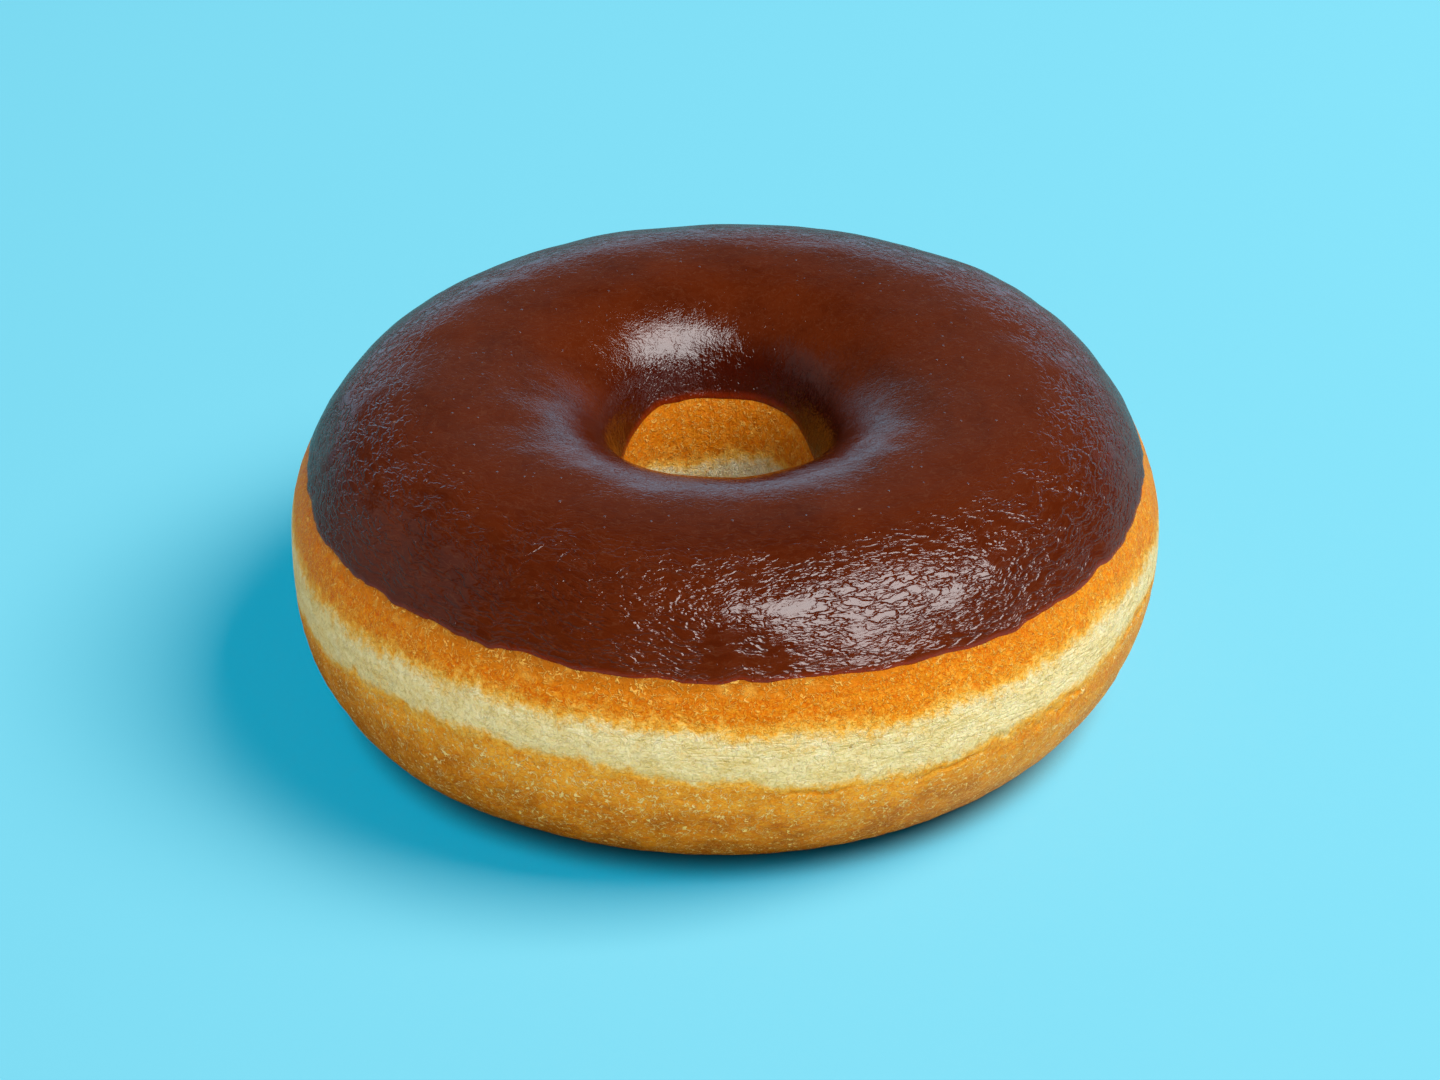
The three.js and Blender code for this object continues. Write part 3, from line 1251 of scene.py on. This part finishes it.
@dataclass
class GlazeCoat:
    """The chocolate glaze, poured thin over the crown, with a rounded, wandering lip."""

    form: RingForm
    finish: ChocolateFinish
    top_height: float
    steps_round_ring: int = 560
    steps_over: int = 132
    steps_under: int = 38
    outer_edge_rise: float = 7.5 * MM
    hole_edge_rise: float = 3.4 * MM
    hole_back_rise: float = 3.1 * MM
    lip_height: float = 0.17 * MM
    lip_width: float = 1.0 * MM
    lip_rise: float = 9 * MM
    thin_edge: float = 0.9 * MM
    thin_edge_in_hole: float = 1.53 * MM
    sunk: float = 0.2 * MM
    sunk_underside: float = 0.3 * MM
    outer_edge_waves: tuple[Wave, ...] = (
        Wave(2, 0.42 * MM, 3.84),
        Wave(7, 0.1 * MM, 2.3),
        Wave(11, 0.08 * MM, 2.3),
    )
    hole_edge_waves: tuple[Wave, ...] = (Wave(3, 0.12 * MM, 0.3), Wave(5, 0.1 * MM, 1.9))
    scallops: Grain = Grain(4.5 * MM, 0.34 * MM, layers=3)
    drips: Grain = Grain(4 * MM, 0.15 * MM, layers=2, shift=0.5)
    back_bearing: float = 94.0
    back_spread: float = 62.0
    shoulder: Step = Step(9 * MM, 17 * MM)
    pools: Grain = Grain(8 * MM, 0.1 * MM, shift=0.1)
    ripples: Grain = Grain(1.7 * MM, 0.028 * MM, layers=2, shift=0.3)
    ripple_stretch: float = 2.2
    smooth_edge: float = 1.2 * MM
    noise: SmoothNoise = field(default_factory=lambda: SmoothNoise(37))

    @property
    def thickness(self) -> float:
        """How thick the glaze is on the crown."""
        return self.top_height - self.form.crown_height

    def build(self) -> bpy.types.Object:
        """Makes the coat and dresses it.

        Returns:
            The new piece.
        """
        angles = np.arange(self.steps_round_ring) / self.steps_round_ring * FULL_TURN
        over = np.arange(self.steps_over) / (self.steps_over - 1)
        under = 1.0 - (np.arange(self.steps_under) + 1) / (self.steps_under + 1)
        share = np.concatenate([over, under])
        is_over = np.arange(len(share)) < self.steps_over
        angle, share = np.meshgrid(angles, share, indexing="ij")
        is_over = np.broadcast_to(is_over, angle.shape)
        start, end = self._edges(angle)
        turn = start + (end - start) * share
        length = self._length(angle, start, end)
        from_edge = np.minimum(share, 1.0 - share) * length
        climb = share * length
        plain = self.form.surface(angle, turn, np.zeros_like(turn))
        top = self._lift(from_edge) + self._relief(angle, climb, plain, from_edge)
        points = self.form.surface(angle, turn, np.where(is_over, top, -self.sunk_underside))
        thin_edge = np.where(share > 0.5, self.thin_edge_in_hole, self.thin_edge)
        traits = {
            Trait.RING_WAY: self.form.along(angle, climb),
            Trait.THINNESS: 1.0 - ease(0.0, 1.0, from_edge / thin_edge),
            Trait.SHOULDER: 1.0 - self.shoulder.at(climb),
            Trait.INNER: ease(0.74, 0.9, share),
        }
        piece = ring_mesh("chocolate_glaze_coat", points, traits)
        piece.data.materials.append(self.finish.material())
        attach(piece, "root")
        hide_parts(Node.GLAZE.value)
        return piece

    def _edges(self, angle: Array) -> tuple[Array, Array]:
        """Where the coat ends.

        Args:
            angle: round the ring.

        Returns:
            The turns of its outer edge and of its edge in the hole.
        """
        rim = np.stack([np.cos(angle), np.sin(angle), np.zeros_like(angle)], axis=-1)
        outer = self.outer_edge_rise + waves_at(self.outer_edge_waves, angle)
        outer = outer + self.scallops.at(self.noise, rim * self.form.ring_radius)
        from_back = np.angle(np.exp(1j * (angle - math.radians(self.back_bearing))))
        at_back = np.exp(-((from_back / math.radians(self.back_spread)) ** 4))
        hole = self.hole_edge_rise + self.hole_back_rise * at_back + waves_at(self.hole_edge_waves, angle)
        hole = hole + self.drips.at(self.noise, rim * self.form.hole_radius)
        return self.form.turn_at_rise(outer, in_hole=False), self.form.turn_at_rise(hole, in_hole=True)

    def _length(self, angle: Array, start: Array, end: Array) -> Array:
        """How far it is over the crown.

        Args:
            angle: round the ring.
            start: the turn of the outer edge.
            end: the turn of the hole's edge.

        Returns:
            The length from edge to edge.
        """
        steps = np.linspace(0.0, 1.0, 200)
        way = self.form.section(start[:, :1] + (end - start)[:, :1] * steps)
        return np.linalg.norm(np.diff(way, axis=1), axis=-1).sum(axis=1)[:, None] * np.ones_like(angle)

    def _lift(self, from_edge: Array) -> Array:
        """How far the glaze stands off the dough.

        Args:
            from_edge: how far each point is from the nearest edge.

        Returns:
            A round lip, then a slow rise to the full thickness.
        """
        out = np.clip(1.0 - from_edge / self.lip_width, 0.0, 1.0)
        lip = (self.lip_height + self.sunk) * np.sqrt(1.0 - out**2) - self.sunk
        return lip + (self.thickness - self.lip_height) * ease(0.0, self.lip_rise, from_edge)

    def _relief(self, angle: Array, climb: Array, plain: Array, from_edge: Array) -> Array:
        """The glaze's own unevenness.

        Args:
            angle: round the ring.
            climb: how far over the crown from the outer edge.
            plain: the points of the smooth form.
            from_edge: how far each point is from the nearest edge.

        Returns:
            How far pools and fine ripples lift each point.
        """
        way = self.form.along(angle, climb) / (self.ripple_stretch, self.ripple_stretch, 1.0)
        uneven = self.pools.at(self.noise, plain) + self.ripples.at(self.noise, way)
        return uneven * ease(0.0, self.smooth_edge, from_edge)


# The studio


@dataclass(frozen=True)
class SoftLight:
    """A square softbox that looks at the doughnut."""

    name: str
    bearing: float
    elevation: float
    distance: float
    width: float
    radiance: float
    colour: Colour = (1.0, 1.0, 1.0)
    mirrored: bool = False

    def build(self, aim: Vector, lit: list[bpy.types.Object]) -> None:
        """Hangs the light.

        Args:
            aim: the point that it faces.
            lit: what it lights.
        """
        data = bpy.data.lights.new(self.name, "AREA")
        data.shape = "SQUARE"
        data.size = self.width
        data.energy = self.radiance * math.pi * self.width**2
        data.color = self.colour
        light = bpy.data.objects.new(self.name, data)
        flat = math.cos(math.radians(self.elevation))
        way = Vector(
            (
                math.sin(math.radians(self.bearing)) * flat,
                -math.cos(math.radians(self.bearing)) * flat,
                math.sin(math.radians(self.elevation)),
            )
        )
        light.location = aim + way * self.distance
        light.rotation_euler = (-way).to_track_quat("-Z", "Y").to_euler()
        light.visible_camera = False
        bpy.context.scene.collection.objects.link(light)
        light.visible_glossy = self.mirrored
        receivers = bpy.data.collections.new(f"{self.name}_lit")
        for piece in lit:
            receivers.objects.link(piece)
        light.light_linking.receiver_collection = receivers


@dataclass(frozen=True)
class Studio:
    """A plain pale blue floor and soft lights: each set of lights has its own things to light."""

    paper_colour: Colour = (0.122, 0.20, 0.23)
    # Painted light: a glow that keeps the paper blue in the shade.
    paper_glow: Colour = (0.0, 0.31, 0.475)
    bounce_colour: Colour = (0.515, 0.43, 0.21)
    mirrored_colour: Colour = (0.055, 0.15, 0.19)
    floor_width: float = 8.0
    contact_shade_reach: float = 4 * MM
    paper_grain: Noise = Noise(30 * MM, 2.0)
    horizon_colour: Colour = (0.44, 0.90, 1.26)
    room_colour: Colour = (1.0, 0.93, 0.85)
    room_light: float = 0.02
    room_gloss: float = 0.15
    cards: tuple[SoftLight, ...] = (
        SoftLight("key_softbox", bearing=56, elevation=55, distance=1.9, width=1.5, radiance=7.9, mirrored=True),
        SoftLight("left_card", bearing=-95, elevation=25, distance=0.9, width=0.8, radiance=0.22, mirrored=True),
    )
    dough_lights: tuple[SoftLight, ...] = (
        SoftLight("front_fill", bearing=-60, elevation=25, distance=2.0, width=2.6, radiance=0.95),
        SoftLight("back_fill", bearing=165, elevation=40, distance=2.0, width=2.6, radiance=0.45),
    )
    paper_lights: tuple[SoftLight, ...] = (
        SoftLight(
            "paper_key",
            bearing=88,
            elevation=52,
            distance=1.9,
            width=1.1,
            radiance=29.0,
            colour=(0.842, 1.0, 0.911),
        ),
    )

    def build(self, aim: Vector, dough: bpy.types.Object, glaze: bpy.types.Object) -> None:
        """Builds the floor, the lights and the surroundings.

        Args:
            aim: the point that the lights face.
            dough: the dough ring, which has fill lights of its own.
            glaze: the glaze.
        """
        half = self.floor_width / 2
        corners = [(-half, -half, 0), (half, -half, 0), (half, half, 0), (-half, half, 0)]
        mesh = bpy.data.meshes.new("floor")
        mesh.from_pydata(corners, [], [(0, 1, 2, 3)])
        floor = bpy.data.objects.new("floor", mesh)
        bpy.context.scene.collection.objects.link(floor)
        floor.data.materials.append(self._paper())
        sets = ((self.cards, [dough, glaze]), (self.dough_lights, [dough]), (self.paper_lights, [floor]))
        for lights, lit in sets:
            for light in lights:
                light.build(aim, lit)
        self._surroundings()

    def _paper(self) -> bpy.types.Material:
        """Makes the paper: painted glow keeps it blue in shade, with a painted contact shadow; it throws a warm,
        weak light back.

        Returns:
            The floor's material.
        """
        material, shade, shader = new_material("floor_paper")
        place = shade.add("ShaderNodeTexCoord").outputs["Object"]
        rays = shade.add("ShaderNodeLightPath")
        colour = shade.mix(rays.outputs["Is Glossy Ray"], self.paper_colour, self.mirrored_colour)
        colour = shade.mix(rays.outputs["Is Diffuse Ray"], colour, self.bounce_colour)
        shade.feed(shader.inputs["Base Color"], colour)
        # Painted light and shadow: a blue glow that only the camera sees, taken away close to the doughnut as a
        # contact shadow.
        contact_shade = shade.add("ShaderNodeAmbientOcclusion", {"Distance": self.contact_shade_reach}, samples=8)
        open_air = shade.ramp(contact_shade.outputs["AO"], 0.05, 0.75)
        seen = shade.times(rays.outputs["Is Camera Ray"], open_air)
        glow = shade.mix(seen, (0.0, 0.0, 0.0), self.paper_glow)
        shade.feed(shader.inputs["Emission Color"], glow)
        shader.inputs["Emission Strength"].default_value = 1.0
        roughness = shade.ramp(shade.noise(place, self.paper_grain), 0.2, 0.8, 0.8, 0.9)
        shade.feed(shader.inputs["Roughness"], roughness)
        shader.inputs["Specular IOR Level"].default_value = 0.1
        return material

    def _surroundings(self) -> None:
        """A dim room with a pale blue backdrop low round it."""
        world = bpy.data.worlds.new("studio")
        world.use_nodes = True
        bpy.context.scene.world = world
        shade = Shade(world.node_tree)
        way = shade.add("ShaderNodeTexCoord").outputs["Generated"]
        parts = shade.add("ShaderNodeSeparateXYZ", {"Vector": way})
        low = shade.ramp(parts.outputs["Z"], 0.05, 0.36, 1.0, 0.0)
        behind = shade.ramp(parts.outputs["Y"], 0.5, 1.0, 0.04, 1.0)
        dim = tuple(self.room_gloss * part for part in self.room_colour)
        seen = shade.mix(low, dim, self.horizon_colour)
        seen = shade.mix(behind, (0.0, 0.0, 0.0), seen)
        rays = shade.add("ShaderNodeLightPath")
        seen = shade.mix(rays.outputs["Is Camera Ray"], seen, self.horizon_colour)
        room = tuple(self.room_light * part for part in self.room_colour)
        colour = shade.mix(rays.outputs["Is Diffuse Ray"], seen, room)
        background = world.node_tree.nodes["Background"]
        shade.feed(background.inputs["Color"], colour)
        background.inputs["Strength"].default_value = 1.0


@dataclass(frozen=True)
class Viewpoint:
    """A long lens that looks down at the doughnut from the front."""

    elevation: float = 33.0
    distance: float = 0.368
    lens: float = 85.5
    roll: float = -0.22
    aim: Vector = field(default_factory=lambda: Vector((-0.27 * MM, 0.0, 13.54 * MM)))

    def build(self) -> None:
        """Sets up the camera."""
        data = bpy.data.cameras.new("camera")
        data.lens = self.lens
        camera = bpy.data.objects.new("camera", data)
        tilt = math.radians(self.elevation)
        place = self.aim + self.distance * Vector((0.0, -math.cos(tilt), math.sin(tilt)))
        turn = Matrix.Rotation(math.pi / 2 - tilt, 4, "X") @ Matrix.Rotation(math.radians(self.roll), 4, "Z")
        camera.matrix_world = Matrix.Translation(place) @ turn
        bpy.context.scene.collection.objects.link(camera)
        bpy.context.scene.camera = camera


def main() -> None:
    """Builds the doughnut and its studio around the frame."""
    logging.basicConfig(level=logging.INFO, format="%(name)s: %(message)s")
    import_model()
    scene = bpy.context.scene
    scene.view_settings.view_transform = "Standard"
    form = RingForm.from_frame()
    effects = Effects()
    glaze_top = Vector(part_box(Node.GLAZE.value)[1]).z
    pieces = [
        DoughRing(form, FriedDoughFinish(effects)).build(),
        GlazeCoat(form, ChocolateFinish(effects), top_height=glaze_top).build(),
    ]
    for piece in pieces:
        LOG.info("%s: %d faces", piece.name, len(piece.data.polygons))
    Viewpoint().build()
    Studio().build(Vector((0.0, 0.0, 0.02)), *pieces)


if __name__ == "__main__":
    main()
